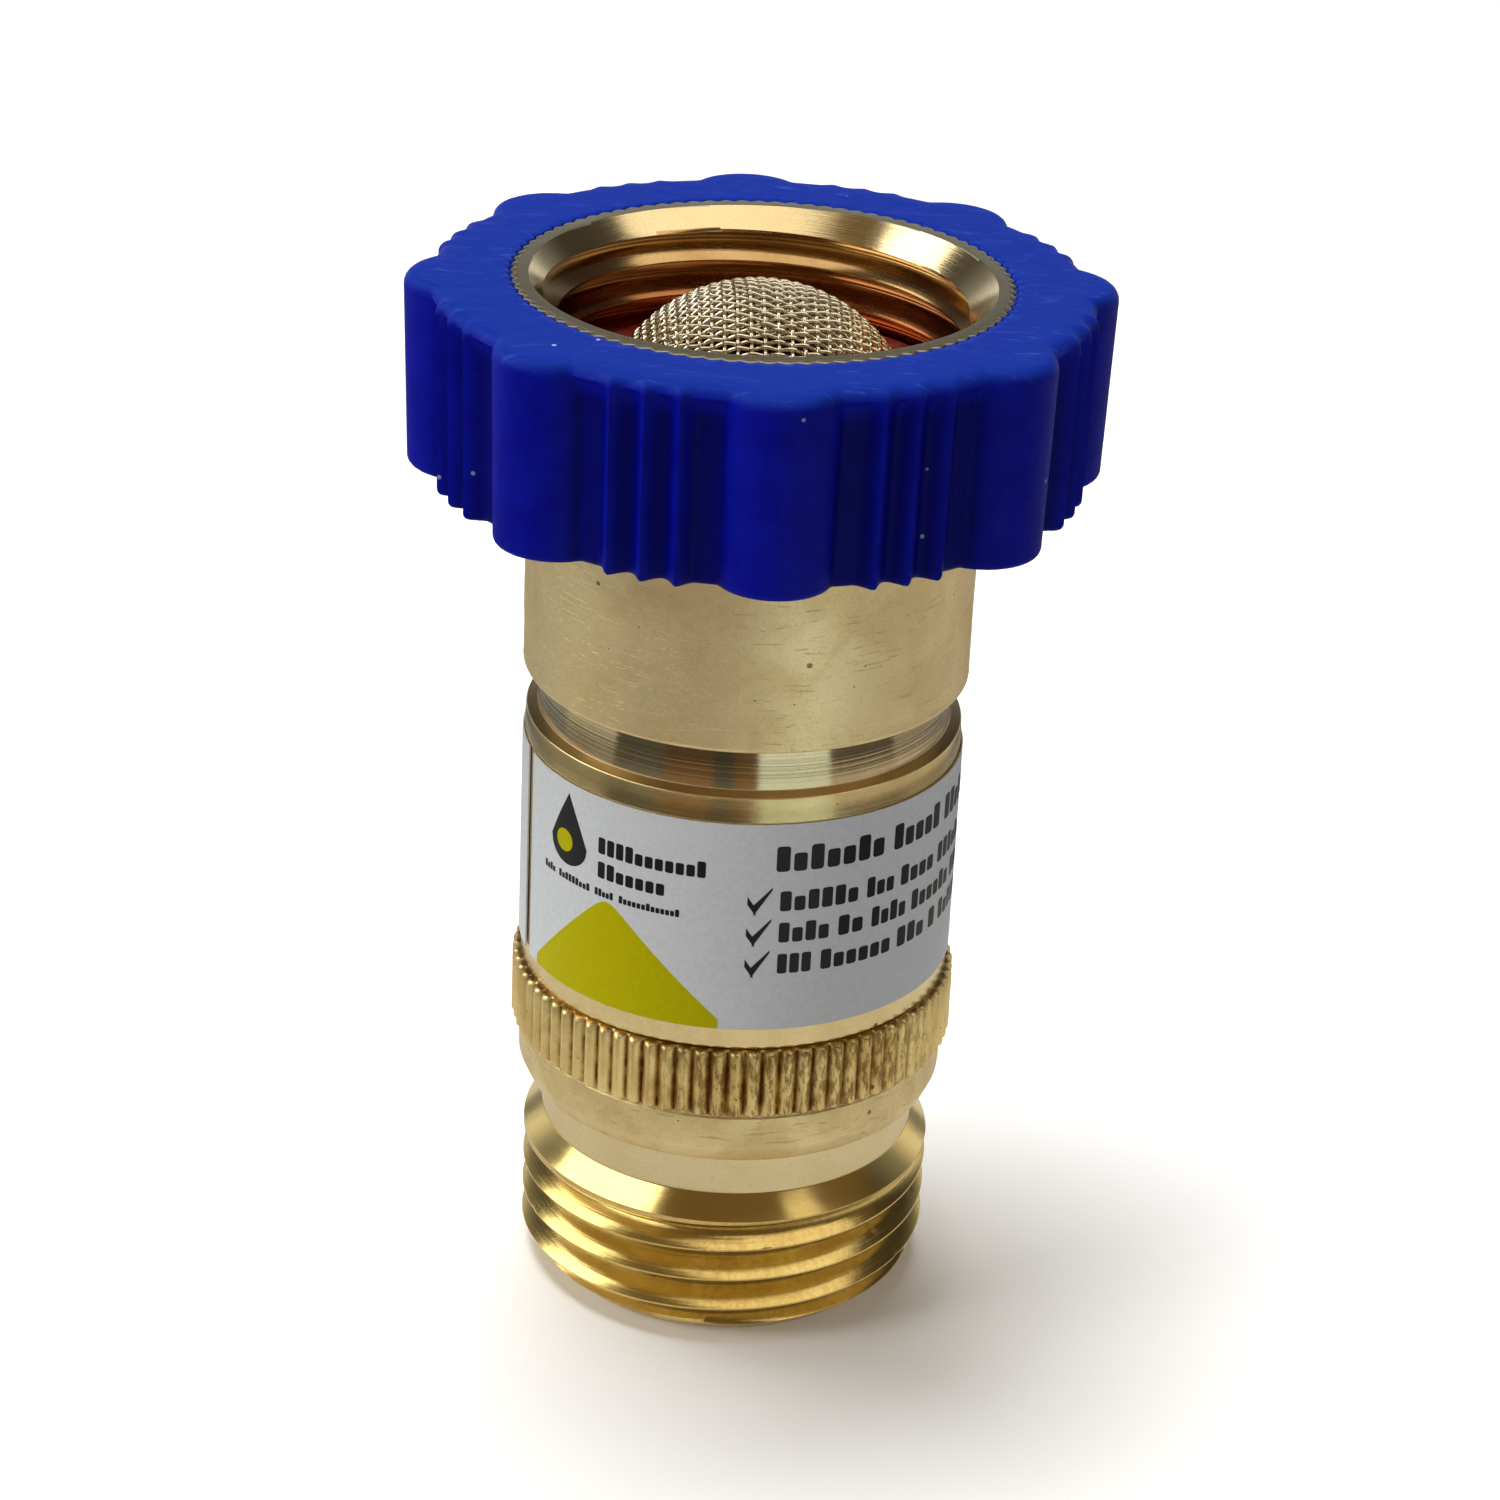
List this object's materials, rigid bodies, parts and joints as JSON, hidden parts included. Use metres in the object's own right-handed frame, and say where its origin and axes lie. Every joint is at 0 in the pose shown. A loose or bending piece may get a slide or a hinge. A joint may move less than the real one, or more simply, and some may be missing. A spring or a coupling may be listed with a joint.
{
  "type": "inline water pressure regulator",
  "caption": "Brass inline water pressure regulator for a hose, with a blue swivel grip nut and domed screen at the inlet and a male hose thread at the outlet.",
  "frame": {"origin": "centre of the outlet's flat end face, which is the bottom centre of the whole part", "axes": "+Z along the flow axis from the outlet end up to the inlet nut, -Y towards the front of the label"},
  "size_m": [0.043, 0.043, 0.0674],
  "materials": {
    "outlet_brass": "forged matte brass with turned thread, cone and knurl",
    "inlet_brass": "forged matte brass with a bright turned groove",
    "label_vinyl": "white satin printed film",
    "blue_plastic": "satin moulded blue plastic",
    "nut_brass": "machined brass",
    "turned_brass": "machined brass",
    "spring_steel": "drawn spring steel",
    "stainless": "bright stainless",
    "mesh_wire": "woven stainless wire",
    "rubber": "moulded nitrile rubber",
    "washer_rubber": "moulded red rubber",
    "acetal": "turned white acetal"
  },
  "bodies": {
    "body": {"outlet_body": "outlet_brass", "inlet_body": "inlet_brass", "label": "label_vinyl", "swivel_snap_ring": "spring_steel", "screen_gasket": "washer_rubber", "screen_rim": "stainless", "screen_mesh": "mesh_wire", "seat_carrier": "turned_brass", "seat_disc": "rubber", "seat_screw": "stainless", "carrier_retaining_ring": "spring_steel", "guide_bush": "acetal", "spring_shim": "stainless", "spring": "spring_steel", "body_o_ring": "rubber"},
    "swivel": {"swivel_nut": "nut_brass", "grip_collar": "blue_plastic"},
    "piston_unit": {"piston": "turned_brass", "stem_o_ring": "rubber", "piston_o_ring": "rubber"}
  },
  "joints": [
    {"name": "swivel_turn", "type": "hinge", "parent": "body", "child": "swivel", "pos_m": [0, 0, 0.0613], "axis": [0, 0, 1], "continuous": true},
    {"name": "piston_travel", "type": "slide", "parent": "body", "child": "piston_unit", "axis": [0, 0, 1], "range_m": [0, 0.0015], "stiffness_N_per_m": 9900, "deforming": ["spring"]}
  ]
}
